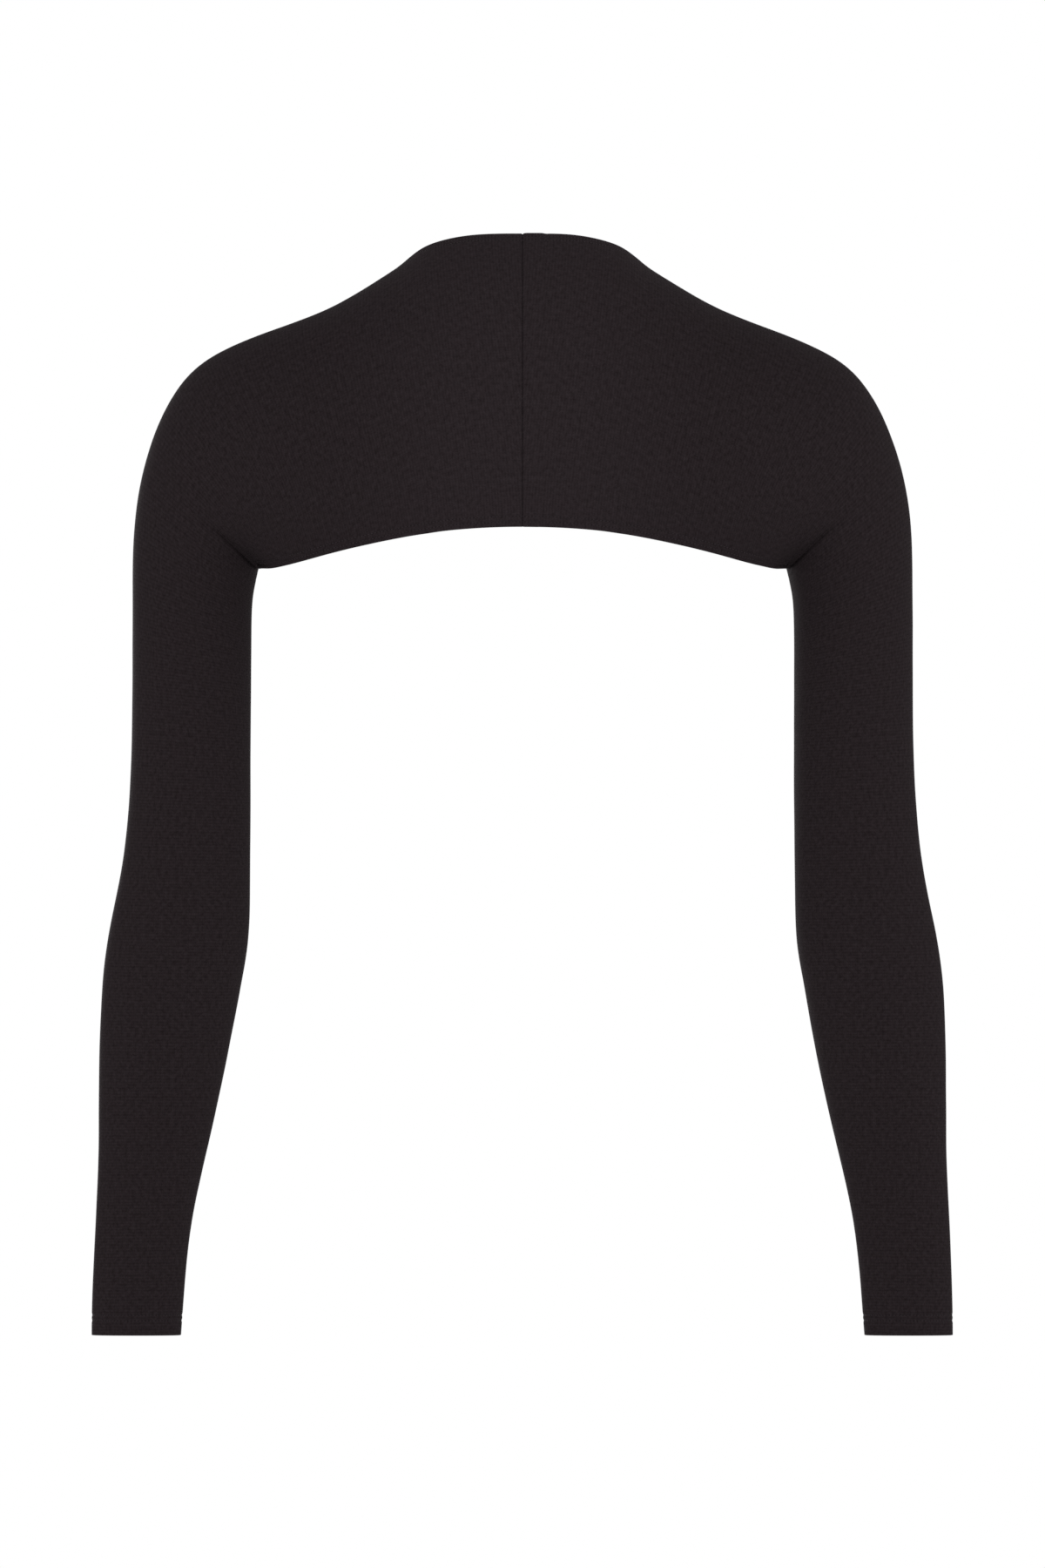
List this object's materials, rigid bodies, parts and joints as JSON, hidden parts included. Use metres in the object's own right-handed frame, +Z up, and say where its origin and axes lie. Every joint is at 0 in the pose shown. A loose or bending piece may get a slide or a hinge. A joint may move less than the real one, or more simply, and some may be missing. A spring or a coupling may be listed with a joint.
{
  "type": "knitted shrug",
  "caption": "Worn, hollow long-sleeved shrug of plain fine double knit: dolman-cut halves joined at the centre back, arched back hem, open front, turned hems.",
  "frame": {"origin": "midway between the wearer's shoulders, where the garment is carried", "axes": "+Z up, +Y towards the back of the garment (the wearer faces -Y), +X to the wearer's left"},
  "size_m": [0.5036, 0.175, 0.6434],
  "materials": {
    "left_panel": "matt fine double knit",
    "right_panel": "matt fine double knit",
    "left_back_hem": "matt fine double knit",
    "right_back_hem": "matt fine double knit",
    "left_front_hem": "matt fine double knit",
    "right_front_hem": "matt fine double knit",
    "left_cuff_hem": "matt fine double knit",
    "right_cuff_hem": "matt fine double knit",
    "centre_back_seam": "matt fine double knit"
  },
  "bodies": {
    "root": {"left_panel": "left_panel", "right_panel": "right_panel", "left_back_hem": "left_back_hem", "right_back_hem": "right_back_hem", "left_front_hem": "left_front_hem", "right_front_hem": "right_front_hem", "left_cuff_hem": "left_cuff_hem", "right_cuff_hem": "right_cuff_hem", "centre_back_seam": "centre_back_seam"}
  },
  "joints": []
}
